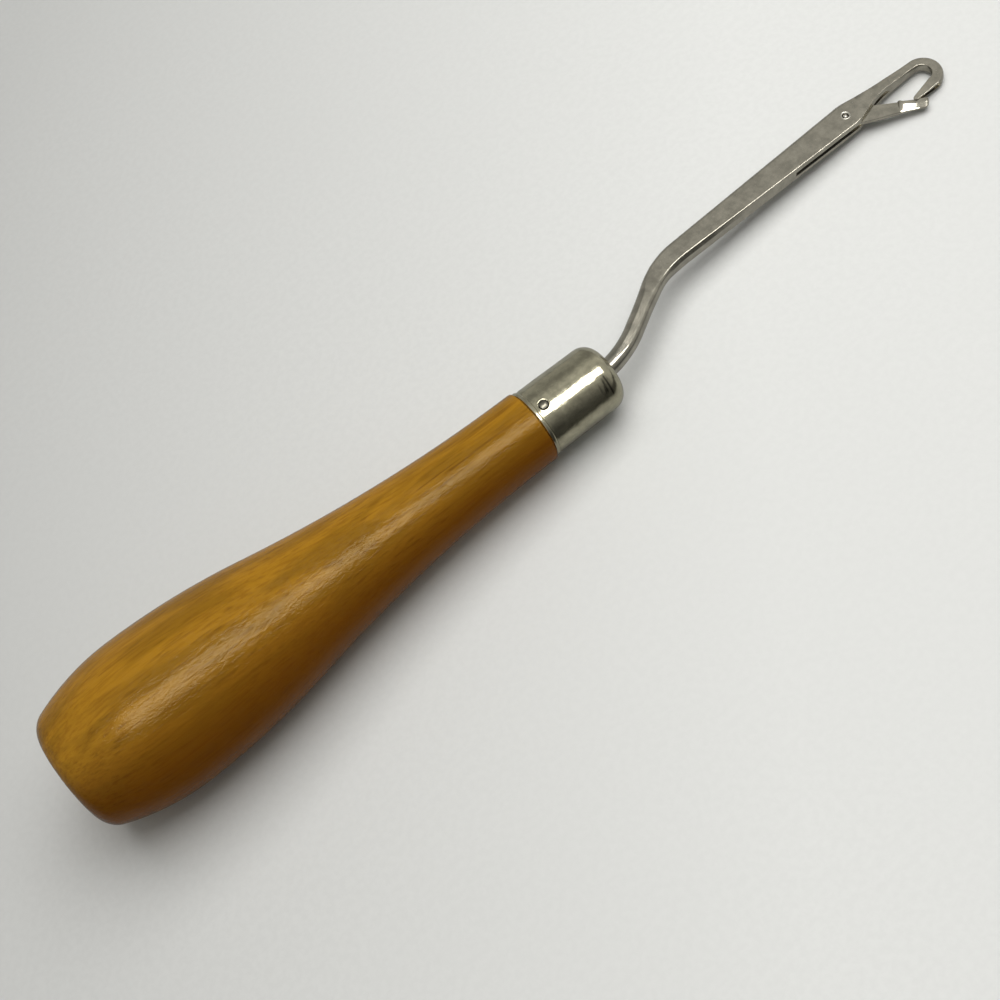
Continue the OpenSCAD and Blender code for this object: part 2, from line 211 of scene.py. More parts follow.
def piece_from(name, points, hollow=False):
    """A closed mesh from rows of points, each row a closed ring.

    The means of the first and the last ring close the ends. On a hollow piece the last
    ring joins the first instead. The faces are turned outwards by the sign of the volume:
    the sum over faces of a corner dotted with the cross product of two of its edges.
    """
    rows, columns, _ = points.shape
    verts = points.reshape(-1, 3)
    quads = grid_faces(rows, columns, hollow)
    triangles = np.zeros((0, 3), int)
    if not hollow:
        first = np.arange(columns)
        last = first + (rows - 1) * columns
        triangles = np.concatenate([
            cap_faces(first, len(verts)),
            cap_faces(last[::-1], len(verts) + 1),
        ])
        verts = np.concatenate([verts, [points[0].mean(0), points[-1].mean(0)]])
    corners = np.concatenate([quads[:, :3], quads[:, [0, 2, 3]], triangles[:, [0, 2, 1]]])
    a, b, c = verts[corners[:, 0]], verts[corners[:, 1]], verts[corners[:, 2]]
    inside_out = np.einsum("ij,ij->i", a, np.cross(b - a, c - a)).sum() < 0
    faces = quads.tolist() + triangles[:, [0, 2, 1]].tolist()
    if inside_out:
        faces = quads[:, ::-1].tolist() + triangles.tolist()
    mesh = bpy.data.meshes.new(name)
    mesh.from_pydata(to_row(verts).tolist(), [], faces)
    mesh.validate()
    return placed(name, mesh)


def spun(profile, count):
    """A profile of (place along X, radius) turned once round the X axis, as rows of rings."""
    a = np.linspace(0, 2 * np.pi, count, endpoint=False)
    x, r = profile[:, 0:1], profile[:, 1:2]
    return np.stack([x + 0 * a, r * np.cos(a), r * np.sin(a)], axis=-1)


def cut_away(piece, *tools):
    """Subtracts closed meshes from a piece for good, and removes them."""
    for tool in tools:
        cut = piece.modifiers.new("cut", "BOOLEAN")
        cut.operation = "DIFFERENCE"
        cut.solver = "EXACT"
        cut.object = tool
    graph = bpy.context.evaluated_depsgraph_get()
    mesh = bpy.data.meshes.new_from_object(piece.evaluated_get(graph))
    piece.modifiers.clear()
    piece.data = mesh
    for tool in tools:
        bpy.data.objects.remove(tool)


def finish_piece(piece, material, node, crease):
    """Shades a piece, stores its tool coordinates and puts it in its CAD node's place.

    Edges sharper than the crease, in degrees, stay sharp. tool_mm holds each point on the
    tool's axes, in millimetres, for the materials.
    """
    mesh = piece.data
    mesh.shade_smooth()
    mesh.set_sharp_from_angle(angle=math.radians(crease))
    co = np.empty(len(mesh.vertices) * 3, np.float32)
    mesh.vertices.foreach_get("co", co)
    on_tool = to_tool(co.reshape(-1, 3).astype(float)) / MM
    attribute = mesh.attributes.new("tool_mm", "FLOAT_VECTOR", "POINT")
    attribute.data.foreach_set("vector", on_tool.astype(np.float32).ravel())
    mesh.materials.clear()
    mesh.materials.append(material)
    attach(piece, frame["nodes"][node]["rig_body"])
    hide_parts(node)


# Settings


def length(name, description, value):
    """A length property whose default is given in millimetres."""
    return bpy.props.FloatProperty(
        name=name,
        description=description,
        default=value * MM,
        min=0.0,
        unit="LENGTH",
        precision=5,
    )


def colour(name, description, value):
    """A colour property, in scene linear values."""
    return bpy.props.FloatVectorProperty(
        name=name,
        description=description,
        default=value,
        size=3,
        min=0.0,
        max=1.0,
        subtype="COLOR",
    )


def power(name, description, value):
    """The power of a lamp, in watts."""
    return bpy.props.FloatProperty(
        name=name, description=description, default=value, min=0.0, unit="POWER"
    )


class HandleSettings(bpy.types.PropertyGroup):
    length: length("Length", "Turned wood, from the ferrule to the butt", 83)
    belly: length("Belly", "Diameter of the belly", 24.4)
    belly_place: length("Belly's place", "From the butt to the thickest place", 15.4)
    neck: length("Neck", "Diameter at the thinnest place", 11.8)
    neck_place: length("Neck's place", "From the ferrule to the thinnest place", 0.5)
    front: length("Front curve", "Radius from the belly towards the neck", 115)
    rear: length("Rear curve", "Radius from the belly towards the butt", 36)
    edge: length("Butt edge", "Radius of the rounded edge of the butt", 3.6)
    varnish: colour("Varnished wood", "Mean colour under the varnish", (0.37, 0.178, 0.012))
    dark_grain: colour("Dark grain", "Colour of the flecks", (0.075, 0.022, 0.001))
    # The colour of the grain streaks, and of the painted shade on the near side
    streak_and_side_shade: colour("Redder side", "Colour of the near side", (0.135, 0.038, 0.002))


class FerruleSettings(bpy.types.PropertyGroup):
    outer: length("Diameter", "Outside of the ferrule", 11)
    length: length("Length", "Rim to front", 14.2)
    wall: length("Wall", "Thickness of the metal", 0.5)
    nose: length("Nose", "Radius of the rounded front", 2.5)
    bead: length("Bead", "Thickness of the rolled rim", 0.9)
    taper: length("Taper", "How much the radius shrinks to the front", 0.1)
    pin_place: length("Pin's place", "Distance of the pin from the rim", 2.1)
    pin_turn: bpy.props.FloatProperty(
        name="Pin's angle",
        description="Angle of the pin round the ferrule, from the flats' upper side",
        default=math.radians(12),
        subtype="ANGLE",
    )
    plate: colour("Plate", "Reflected colour of the nickel plate", (0.645, 0.61, 0.45))


class ShankSettings(bpy.types.PropertyGroup):
    wire: length("Wire", "Diameter of the round wire", 3)
    tang: length("Tang", "Length of wire inside the wood", 32)
    flat: length("Flats", "Thickness over the flats", 2)
    width: length("Width", "Width at the end of the crank", 4)
    head: length("Head", "Width at the rivet", 5.2)
    rivet_place: length("Rivet's place", "From the end of the crank to the rivet", 35.1)
    rivet: length("Rivet", "Diameter of the rivet", 1.2)
    saw: length("Saw", "Diameter of the saw that cut the slot", 41.6)
    slot: length("Slot", "Width of the slot", 0.68)
    steel: colour("Steel", "Reflected colour of the steel", (0.57, 0.54, 0.455))


class LatchSettings(bpy.types.PropertyGroup):
    thickness: length("Thickness", "Thickness of the blade", 0.6)
    eye: length("Eye", "Diameter of the eye", 2.84)
    cup: length("Cup", "Outer diameter of the cup", 1.8)


class StageSettings(bpy.types.PropertyGroup):
    table: colour("Table", "Colour of the table top", (0.8, 0.81, 0.8))
    key: power("Key lamp", "Power of the lamp that lights the table", 3.7)
    strip: power("Strip lamp", "Power of the lamp that metal and varnish mirror", 11.0)


# Handle


WOOD_GAP = 0.25 * MM
TENON = 13.5 * MM
TENON_R = 4.98 * MM
BORE = 32.2 * MM
BORE_R = 1.52 * MM


def handle_profile(s):
    """The lathe profile of the wood, as (place along X, radius).

    Arcs that touch each other: the butt's edge, the rear of the belly, its front, and the
    neck, whose radius comes from the distance and the step between belly and neck. Behind
    the ferrule follow the tenon and the bore of the tang.
    """
    belly_r, neck_r = s.belly / 2, s.neck / 2
    belly_x, edge_x = s.belly_place - s.length, s.edge - s.length
    rear_axis = belly_r - s.rear
    turn = math.acos((belly_x - edge_x) / (s.rear - s.edge))
    flat_r = rear_axis + (s.rear - s.edge) * math.sin(turn)
    run, rise = -s.neck_place - belly_x, belly_r - neck_r
    arc_sum = (run**2 + rise**2) / (2 * rise)
    neck_arc = arc_sum - s.front
    flank = math.degrees(math.asin(run / arc_sum))
    neck_turn = math.degrees(math.asin(s.neck_place / neck_arc))
    turn = math.degrees(turn)
    wood = joined(
        straight((-s.length, 0.4 * flat_r), (-s.length, flat_r), 8),
        arc((edge_x, flat_r), s.edge, 180, 180 - turn, 30),
        arc((belly_x, rear_axis), s.rear, 180 - turn, 90, 60),
        arc((belly_x, belly_r - s.front), s.front, 90, 90 - flank, 80),
        arc((-s.neck_place, neck_r + neck_arc), neck_arc, 270 - flank, 270 + neck_turn, 110),
    )
    wood = wood[wood[:, 0] < -WOOD_GAP]
    end_r = wood[-1, 1]
    tenon = np.array([
        [-0.1 * MM, end_r - 0.05 * MM],
        [0, end_r - 0.25 * MM],
        [0, TENON_R],
        [11.7 * MM, TENON_R],
        [13.1 * MM, 4.4 * MM],
        [TENON, 3 * MM],
        [TENON, BORE_R],
        [-BORE, BORE_R],
        [-BORE, 0.8 * MM],
    ])
    return np.concatenate([wood, tenon])


# Ferrule


BEAD_PROUD = 0.15 * MM
WIRE_HOLE_R = 1.85 * MM
HOLE_EDGE = 0.15 * MM
HOLLOW_R = 0.82 * MM
HOLLOW_DEPTH = 0.22 * MM
LIP_R = 0.86 * MM
LIP_WIDTH = 0.16 * MM
LIP_HEIGHT = 0.015 * MM


def ferrule_profile(s):
    """The lathe profile of the ferrule as a closed loop of (place along X, radius).

    Outside: a rolled bead, a groove, a slightly tapered tube and a quarter round nose.
    Inside, the same less the wall.
    """
    r, bead = s.outer / 2, s.bead / 2
    front = r - s.taper
    nose_x = s.length - s.nose
    proud = r + BEAD_PROUD - bead
    outside = joined(
        arc((bead, proud), bead, 215, 20, 30),
        straight((s.bead + 0.02 * MM, r - 0.14 * MM), (s.bead + 0.12 * MM, r - 0.1 * MM), 3),
        smooth_line([
            (s.bead + 0.22 * MM, r - 0.01 * MM),
            (s.bead + 1.2 * MM, r),
            (nose_x * 0.6, r - s.taper * 0.45),
            (nose_x, front),
        ], 80),
        arc((nose_x, front - s.nose), s.nose, 90, 8, 34),
        straight((s.length, front - s.nose - 0.15 * MM), (s.length, WIRE_HOLE_R), 6),
        arc((s.length - HOLE_EDGE, WIRE_HOLE_R), HOLE_EDGE, 0, -90, 6),
    )
    inner_nose = s.nose - s.wall
    inside = joined(
        straight((s.length - s.wall, 1.7 * MM), (s.length - s.wall, front - s.nose), 5),
        arc((nose_x, front - s.nose), inner_nose, 0, 90, 12),
        straight((nose_x, front - s.wall), (0.3 * MM, r - s.wall), 30),
    )
    return np.concatenate([outside, inside])


def pin_dimple(points, s):
    """Presses a round hollow into the ferrule round its pin.

    The depth is full in the middle, and falls to nothing at the hollow's edge with the
    fifth power of the distance. A low lip stands round it as a narrow bell curve.
    """
    r = s.outer / 2
    middle = np.array([s.pin_place, -r * math.sin(s.pin_turn), r * math.cos(s.pin_turn)])
    d = np.linalg.norm(points - middle, axis=-1)
    hollow = 1 - np.clip(d / HOLLOW_R, 0, 1) ** 5
    lip = np.exp(-(((d - LIP_R) / LIP_WIDTH) ** 2))
    radial = points * [0, 1, 1]
    distance = np.linalg.norm(radial, axis=-1, keepdims=True)
    outside = distance > r - 0.4 * MM
    change = (LIP_HEIGHT * lip - HOLLOW_DEPTH * hollow)[..., None]
    return points + outside * (radial / distance) * change


# Shank and hook


# The wire's bends, in millimetres and degrees. RISE is the slope of the straight shank
CRANK_X = 12.2
FIRST_BEND = 18.0
SECOND_BEND = 15.0
CRANK_ANGLE = 31.0
CRANK_OFFSET = 8.9
RISE = 1.7
CRANK_TWIST = 14.0

# The forging, in millimetres. EDGE rounds a bevelled side's upper edge, and HAIR and
# FULL_ROUND keep a round side just short of a half circle
HAMMERED = 0.09
HEAD_BACK = 0.7
BOW = (14.35, -2.5)
BOW_OUTER = 3.27
BOW_INNER = 1.45
EDGE = 0.11
HAIR = 0.0004
FULL_ROUND = 0.9999
TANG_POINTS = 12
HEAD_POINTS = 110
BOW_POINTS = 90
TIP_POINTS = 60


def wire_line(s):
    """The middle line from the tang to the rivet, on the tool's axes, in millimetres.

    A straight tang, a bend, the straight crank, a second bend and the straight shank.
    Returns the points, the direction at each in degrees, the distance of each from the
    crank's start, and the rivet's place.
    """
    a, rise = math.radians(CRANK_ANGLE), math.radians(RISE)
    up = FIRST_BEND * (1 - math.cos(a)) + SECOND_BEND * (math.cos(rise) - math.cos(a))
    crank = (CRANK_OFFSET - up) / math.sin(a)
    first = np.array([CRANK_X, FIRST_BEND])
    start = first + FIRST_BEND * np.array([math.sin(a), -math.cos(a)])
    end = start + crank * np.array([math.cos(a), math.sin(a)])
    second = end + SECOND_BEND * np.array([math.sin(a), -math.cos(a)])
    body = second + SECOND_BEND * np.array([-math.sin(rise), math.cos(rise)])
    ahead = np.array([math.cos(rise), math.sin(rise)])
    rivet = body + s.rivet_place / MM * ahead
    line = joined(
        straight((-s.tang / MM, 0), (CRANK_X, 0), TANG_POINTS),
        arc(first, FIRST_BEND, -90, CRANK_ANGLE - 90, 32),
        straight(start, end, 34),
        arc(second, SECOND_BEND, CRANK_ANGLE + 90, RISE + 90, 36),
        straight(body, rivet - HEAD_BACK * ahead, 60),
    )
    way = np.gradient(line, axis=0)
    heading = np.degrees(np.arctan2(way[:, 1], way[:, 0]))
    run = np.concatenate([[0], np.cumsum(np.linalg.norm(np.diff(line, axis=0), axis=1))])
    run -= run[TANG_POINTS - 1]
    return line, heading, run, rivet


def side_depth(radius, half):
    """How far a round side of a radius falls back where the flat cuts it, and the share of
    the radius that the half thickness is."""
    share = np.clip(half / radius, 0, FULL_ROUND)
    return radius * (1 - np.sqrt(1 - share**2)), share


def wire_sections(s, run, bend_end, end):
    """Half width, half thickness, side radius and twist along the wire, up to the rivet.

    The hammered flat starts narrow on the crank, turned towards the near side, and turns
    level while the wire is forged down to the shank's thickness. Each change is eased over
    a stretch of the wire, measured from the crank's start or from the second bend's end.
    """
    wire_r, flat = s.wire / 2 / MM, s.flat / 2 / MM
    forged = wire_r - HAMMERED - flat
    half = wire_r - HAMMERED * eased(run, 3.6, 7.0) - forged * eased(run, 14.6, 20.8)
    radius = wire_r + (1.06 * flat - wire_r) * eased(run, bend_end - 12, bend_end - 3)
    wide = wire_r + (s.width / 2 / MM - wire_r) * eased(run, bend_end - 12.5, bend_end)
    flare = (s.head - s.width) / 2 / MM
    wide = wide + flare * np.clip((run - bend_end) / (end - bend_end), 0, 1)
    twist = CRANK_TWIST * (1 - eased(run, 12.0, 19.5)) * eased(run, 0.0, 3.0)
    return wide, half - HAIR, radius, twist


def hook_edges():
    """The two edge lines of the head with its limb, of the bow and of the point, in
    millimetres on axes that start at the rivet and follow the shank."""
    head_left = smooth_line([
        (-HEAD_BACK, 2.59), (0.3, 2.61), (1.2, 2.53), (2.39, 2.27), (3.98, 1.87),
        (5.6, 1.56), (7.24, 1.34), (9.75, 1.12), (12.2, 0.92), (BOW[0], 0.77),
    ], HEAD_POINTS)
    head_right = smooth_line([
        (-HEAD_BACK, -2.59), (0.2, -2.62), (1.4, -2.48), (3.3, -1.92), (5.6, -1.22),
        (7.6, -0.9), (9.4, -0.84), (11.5, -0.87), (BOW[0] - 0.1, -0.93),
    ], HEAD_POINTS)
    bow_left = arc(BOW, BOW_OUTER, 90, -84, BOW_POINTS)
    bow_right = arc((BOW[0] - 0.08, BOW[1] + 0.12), BOW_INNER, 90, -84, BOW_POINTS)
    point_left = smooth_line([
        bow_left[-1], (13.2, -5.73), (11.9, -5.67), (10.9, -5.56), (9.75, -5.47), (9.42, -5.4),
    ], TIP_POINTS)
    bevel_start = (10.2, -4.66)
    point_right = joined(
        straight(bow_right[-1], bevel_start, 40),
        smooth_line([bevel_start, (9.85, -4.84), (9.55, -5.18), (9.4, -5.36)], 21),
    )
    left = np.concatenate([head_left[1:], bow_left[1:], point_left[1:]])
    right = np.concatenate([head_right[1:], bow_right[1:], point_right[1:]])
    return left, right


def shank_stations(s):
    """Left and right edge, half thickness, twist, and each side's form, per station.

    The wire's sides keep a round form while its flats deepen, and the head, the limb over
    the opening, the bow and the point follow the hook's edge lines. The right side's form
    turns from round to bevelled along the second bend, and the bow's outside is bevelled.
    """
    line, heading, run, rivet = wire_line(s)
    flat = s.flat / 2 / MM
    end = run[-1] + HEAD_BACK
    bend_end = end - s.rivet_place / MM
    wide, half, radius, twist = wire_sections(s, run, bend_end, end)
    h = np.radians(heading)
    normal = np.stack([-np.sin(h), np.cos(h)], axis=1)
    left, right = line + wide[:, None] * normal, line - wide[:, None] * normal
    depth, share = side_depth(radius, half)
    near_depth = depth - 0.26 * eased(run, bend_end - 8, end - 8)
    bevel = eased(run, bend_end - 8, bend_end - 1)

    hook_left, hook_right = hook_edges()
    turn = turned_by(RISE)
    left = np.concatenate([left, hook_left @ turn + rivet])
    right = np.concatenate([right, hook_right @ turn + rivet])

    # Shares from 0 to 1 along the head, the bow and the point
    head = np.linspace(0, 1, HEAD_POINTS)[1:]
    bow = np.linspace(0, 1, BOW_POINTS)[1:]
    point = np.linspace(0, 1, TIP_POINTS)[1:]
    thick_head = flat - 0.22 * eased(head, 0.5, 1)
    thick_bow = thick_head[-1] - 0.08 * bow
    tip = 0.27
    thin = thick_bow[-1] - (thick_bow[-1] - tip) * point**1.15
    half = np.concatenate([half, thick_head, thick_bow, thin])
    twist = np.concatenate([twist, np.zeros(len(half) - len(twist))])

    # How far each side falls back at the flats, and how round or bevelled it is
    shoulder = eased(head, 0.08, 0.4)
    limb = 0.36
    throat = smooth_value(
        head, [0, 0.15, 0.3, 0.5, 0.75, 1], [near_depth[-1], 0.46, 0.42, 0.38, 0.3, 0.24]
    )
    left_depth = np.concatenate([
        depth,
        depth[-1] + (limb - depth[-1]) * shoulder,
        np.full(len(bow), limb),
        0.3 * thin + 0.02,
    ])
    right_depth = np.concatenate([near_depth, throat, 0.24 - 0.06 * bow, 0.16 * thin + 0.04])
    left_share = np.concatenate([
        share,
        share[-1] + (FULL_ROUND - share[-1]) * shoulder,
        np.full(len(bow), FULL_ROUND),
        FULL_ROUND - 0.09 * point,
    ])
    right_share = np.concatenate([share, np.full(len(half) - len(share), share[-1])])
    inner = np.concatenate([
        bevel,
        1 - 0.5 * eased(head, 0.6, 1),
        np.full(len(bow), 0.5),
        0.5 - 0.5 * point,
    ])
    outer = np.concatenate([
        np.zeros(len(line) + len(head)),
        0.6 * eased(bow, 0.3, 1),
        0.6 - 0.3 * point,
    ])
    left_form = (left_depth, left_share, outer)
    right_form = (right_depth, right_share, inner)
    return left, right, half, twist, left_form, right_form


def side_form(half, depth, share, bevel):
    """One side of each section from the top flat to the bottom flat: how far it falls back
    from its widest place, and its height.

    Round: at angle a the height is half times sin a over the share, and the fall is depth
    times (1 - cos a) over what that comes to where the flat cuts it. Bevelled: a small
    round edge at the top, a straight facet down to a crisp knee, a straight wall that leans
    out from the knee, and a round foot. The falls of the edge, the facet and the wall add
    up to the depth. bevel is the share of the bevelled form, and the rest is round.
    """
    most = np.arcsin(share)[:, None]
    brow, knee, foot, lean = 0.95, 0.32, 0.14, 0.12
    fillet = np.linspace(0, np.pi / 2, 7)
    level = np.concatenate([
        brow + (1 - brow) * np.cos(fillet),
        np.linspace(brow, knee, 9)[1:],
        np.linspace(knee, foot - 1, 15)[1:],
        foot - 1 - foot * np.sin(fillet)[1:],
    ])[None, :]
    depth, bevel = depth[:, None], bevel[:, None]
    back = depth * (1 - np.sqrt(1 - (level * np.sin(most)) ** 2)) / (1 - np.cos(most))
    facet = np.clip((level - knee) / (1 - knee), 0, 1)
    edge = 1 - np.sqrt(1 - np.clip((level - brow) / (1 - brow), 0, 1) ** 2)
    wall = np.clip((level - foot + 1) / (knee - foot + 1), 0, 1)
    under = 1 - np.sqrt(1 - np.clip((foot - 1 - level) / foot, 0, 1) ** 2)
    cut = (depth - lean - EDGE) * facet + EDGE * edge + lean * wall + foot * under
    return back * (1 - bevel) + cut * bevel, level * half[:, None]


def shank_surface(s):
    """Rings of points from the tang to the hook's tip: right side, flat, left side, flat.

    Each ring is worked out across and over the line between the two edges, turned by the
    twist, and laid in its place.
    """
    left, right, half, twist, left_form, right_form = shank_stations(s)
    across = left - right
    width = np.linalg.norm(across, axis=1, keepdims=True)
    across /= width
    middle = (left + right) / 2
    near_back, near_z = side_form(half, *right_form)
    far_back, far_z = side_form(half, *left_form)
    near = np.stack([near_back - width / 2, near_z], axis=-1)
    far = np.stack([width / 2 - far_back, far_z], axis=-1)[:, ::-1]
    t = np.linspace(0, 1, 6)[1:-1][None, :, None]
    under = near[:, -1:] * (1 - t) + far[:, :1] * t
    over = far[:, -1:] * (1 - t) + near[:, :1] * t
    ring = np.concatenate([near, under, far, over], axis=1)
    a = np.radians(twist)[:, None]
    side = ring[..., 0] * np.cos(a) - ring[..., 1] * np.sin(a)
    high = ring[..., 0] * np.sin(a) + ring[..., 1] * np.cos(a)
    flat_xy = middle[:, None] + side[..., None] * across[:, None]
    return np.concatenate([flat_xy, high[..., None]], axis=-1) * MM


def rivet_middle(s):
    """The rivet's place on the tool's axes, in millimetres."""
    return wire_line(s)[3]


def from_rivet(points, s, turn=RISE):
    """Points on the rivet's own axes, in millimetres, turned and moved to the tool's axes."""
    flat = points[..., :2] @ turned_by(turn) + rivet_middle(s)
    return np.concatenate([flat, points[..., 2:]], axis=-1) * MM


def disc(name, centre, profile, s, count):
    """A round piece whose axis is along the rivet's, from a profile of (height, radius)."""
    points = np.roll(spun(profile, count), -1, axis=-1) + [*centre, 0]
    return piece_from(name, from_rivet(points, s))


def slot_cutter(s):
    """The saw that cuts the slot: a thin disc whose rim stops behind the latch's eye."""
    r, w = s.saw / 2 / MM, s.slot / 2 / MM
    x, top = -0.7, 1.54
    profile = np.array([[-w, r * 0.5], [-w, r], [w, r], [w, r * 0.5]])
    return disc("saw", (x, top - r), profile, s, 720)


def hole_cutter(s):
    """A drill with a small countersink on both flats."""
    r, flat = s.rivet / 2 / MM + 0.02, s.flat / 2 / MM
    sink, beyond = 0.13, 0.3
    half = np.array([[flat - sink, r], [flat + beyond, r + beyond]])
    profile = np.concatenate([half[::-1] * [-1, 1], half])
    return disc("drill", (0, 0), profile, s, 96)


# Latch


# The shut latch's slope below the shank in degrees, and its cup in millimetres
LATCH_SLOPE = 32.218
CUP_BACK = 8.4
CUP_FULL = 8.9
CUP_END = 12.1
CUP_ROUND = 1.1
CUP_MIDDLE = 0.62
HOLLOW_END = 12.0
HOLLOW_ROUND = 0.85


def latch_edges(x, eye):
    """Keel and rim of the latch along x: a round eye, a blade that narrows, and the cup's
    end, which rounds off as a power of the distance does."""
    low = -smooth_value(
        x, [0, 2.2, 4.6, 8.2, 10.5, CUP_END], [eye, 1.47, 1.4, 1.07, 0.98, 0.93]
    )
    high = smooth_value(
        x, [0, 2.2, 4.6, 8.2, 9.2, 10.4, CUP_END], [eye, 1.47, 1.4, 1.05, 0.97, 0.93, 0.95]
    )
    round_eye = np.sqrt(np.clip(eye**2 - x**2, 0, None))
    low = np.where(x < 0, -round_eye, low)
    high = np.where(x < 0, round_eye, high)
    end = np.clip((x - CUP_END) / CUP_ROUND, 0, 1)
    low = low + (CUP_MIDDLE - 0.05 - low) * (1 - np.sqrt(1 - end**2.6))
    high = high - 0.22 * (1 - np.sqrt(1 - end**2.2))
    return low, high, end


def latch_surface(latch):
    """Rings of points along the latch, from its eye to the end of the cup.

    Each ring goes from the keel up one side, over the rim, down into the hollow and back
    by mirror. Along the cup the side's half thickness goes in a straight line from the thin
    keel to a ridge, falls off a small step and rises again to the rim. The ridge is lower
    towards the cup's end. The hollow is half an ellipse across.
    """
    eye, blade, cup = latch.eye / 2 / MM, latch.thickness / 2 / MM, latch.cup / 2 / MM
    x = joined(
        -eye * np.cos(np.linspace(0.05, np.pi / 2, 20)),
        np.linspace(0, 8, 30),
        np.linspace(8, 10.2, 34),
        np.linspace(10.2, CUP_END, 14),
        CUP_END + 1.08 * np.sin(np.linspace(0, np.pi / 2 - 0.04, 26)),
    )
    x, low, high, end = (v[:, None] for v in (x, *latch_edges(x, eye)))
    swell = swelling(x, CUP_BACK, CUP_FULL) * np.sqrt(np.clip(1 - end**2, 0.04, 1))
    thick = blade * (1 - 0.45 * swell) * (1 - 0.6 * end**2)
    ridge_z = blade + (0.45 - 0.15 * np.clip(x - 9.0, 0, 2.4)) * swell
    past = np.clip(x - HOLLOW_END, 0, HOLLOW_ROUND) / HOLLOW_ROUND
    hollow = swelling(x, 9.6, 10.6) * np.sqrt(np.clip(1 - past**2, 0, 1))
    hollow = np.where(x > 12.84, 0, hollow)
    cut = eased(x, 8.5, 9.3)
    crease = low + (0.94 - 0.36 * cut) * (high - low)

    # From keel to ridge, then from ridge to rim
    t = np.linspace(0, 1, 8)
    lower = (low + 0.07) * (1 - t) + crease * t
    lower_z = thick * (1 - t) + ridge_z * t
    a = 1 - np.cos(np.linspace(0, np.pi / 2, 20))[1:]
    upper = crease * (1 - a) + high * a
    rise = (upper - crease) / (high - crease)
    drop = 0.26 * eased(rise, 0, 0.22) - 0.04 * rise
    upper_z = ridge_z - drop * (swell * cut)

    # Over the rim and into the hollow
    wall = upper_z[:, -1:]
    b = np.linspace(0, np.pi / 2, 12)
    depth = (high - (CUP_MIDDLE - cup + 0.34)) * hollow
    inner = high - depth * np.sin(b)
    inner_z = np.minimum(0.6 * hollow, wall * 0.66) * np.cos(b)
    side = np.concatenate([
        np.stack([low, 0 * low], axis=-1),
        np.stack([low + 0.015, thick - 0.055], axis=-1),
        np.stack([lower, lower_z], axis=-1),
        np.stack([upper, upper_z], axis=-1),
        np.stack([high + 0.03, (wall + inner_z[:, :1]) / 2], axis=-1),
        np.stack([inner, inner_z], axis=-1),
    ], axis=1)
    other = side[:, 1:-1][:, ::-1] * [1, -1]
    ring = np.concatenate([side, other], axis=1)
    along = np.broadcast_to(x[..., None], ring[..., :1].shape)
    return np.concatenate([along, ring], axis=-1)


def rivet_end(flat, r):
    """Half of the rivet's profile, as (height, radius): a low dome in a punched ring, and
    the lip that the punch raised round it."""
    ring, lip_edge = (flat - 0.17, 0.43), (flat - 0.03, 0.8)
    dome = smooth_line([(flat, 0.01), (flat - 0.02, 0.2), (flat - 0.13, 0.33), ring], 16)
    lip = smooth_line([
        ring, (flat - 0.1, 0.53), (flat + 0.03, 0.62), (flat + 0.06, 0.69),
        (flat + 0.03, 0.76), lip_edge,
    ], 24)
    return joined(dome, lip, np.array([lip_edge, (flat - 0.12, r)]))


# Materials


BLACK = (0, 0, 0, 1)
# The colour of the painted shade round the pin and of the painted dark reflection near the
# ferrule's nose
PAINTED_DARK = (0.05, 0.045, 0.03, 1)
# The colour of the painted shade in the rivet's punched ring
GROOVE_SHADE = (0.06, 0.055, 0.045, 1)
BRIGHT_STEEL = (0.72, 0.7, 0.63, 1)
PIN_STEEL = (0.2, 0.19, 0.15)
# The colour of the table's near part in the metal's reflections: painted shade
MIRRORED_SHADE = (0.05, 0.05, 0.045, 1)
PALE_WALL = (0.8, 0.81, 0.79, 1)

# The height of the varnish's wrinkles and of the metal's scratches, in metres
WRINKLE = 0.00006
SCRATCH = 0.00001

# The radii of the rings of painted shade in the punched hollows, and the place of the painted
# dark reflection on the ferrule, in millimetres, and that reflection's angle
PIN_SHADE_RING = 0.68
RIVET_SHADE_RING = 0.42
REFLECTED_LINE_X = 11.7
REFLECTED_LINE_TURN = math.radians(140)


def connect(tree, node, values):
    """Gives each named socket of a node its value, or a link where the value is a socket."""
    for name, value in values.items():
        socket = node.inputs[name]
        if isinstance(value, bpy.types.NodeSocket):
            tree.links.new(value, socket)
        else:
            socket.default_value = value


def add(tree, kind, values=None, **settings):
    """A shader node with its properties set and its sockets given their values."""
    node = tree.nodes.new("ShaderNode" + kind)
    for name, value in settings.items():
        setattr(node, name, value)
    connect(tree, node, values or {})
    return node


def math_node(tree, operation, a, b=0.0, c=0.0, clamp=False):
    """One step of arithmetic on two values, or on three where the operation takes them."""
    values = {0: a, 1: b, 2: c}
    return add(tree, "Math", values, operation=operation, use_clamp=clamp).outputs[0]


def times(tree, a, b, **clamp):
    """The product of two values."""
    return math_node(tree, "MULTIPLY", a, b, **clamp)


def vector_node(tree, operation, a, b=(0, 0, 0)):
    """One step of vector arithmetic, whose answer is a vector or a number."""
    outputs = add(tree, "VectorMath", {0: a, 1: b}, operation=operation).outputs
    number = operation in ("LENGTH", "DISTANCE", "DOT_PRODUCT")
    return outputs["Value" if number else "Vector"]


def apart(tree, value, middle):
    """How far a value is from another, either way."""
    return math_node(tree, "ABSOLUTE", math_node(tree, "SUBTRACT", value, middle))


def blend(tree, share, a, b):
    """Two colours mixed by a share."""
    return add(tree, "Mix", {0: share, 6: a, 7: b}, data_type="RGBA").outputs[2]


def ramp(tree, value, low, high, start=0.0, end=1.0, kind="SMOOTHSTEP"):
    """A value that goes from start to end while another goes from low to high."""
    values = {0: value, 1: low, 2: high, 3: start, 4: end}
    return add(tree, "MapRange", values, interpolation_type=kind).outputs[0]


def noise(tree, where, scale=1.0, detail=3.0, rough=0.5, warp=0.0):
    """Smooth noise from 0 to 1."""
    return add(tree, "TexNoise", {
        "Vector": where,
        "Scale": scale,
        "Detail": detail,
        "Roughness": rough,
        "Distortion": warp,
    }).outputs[0]


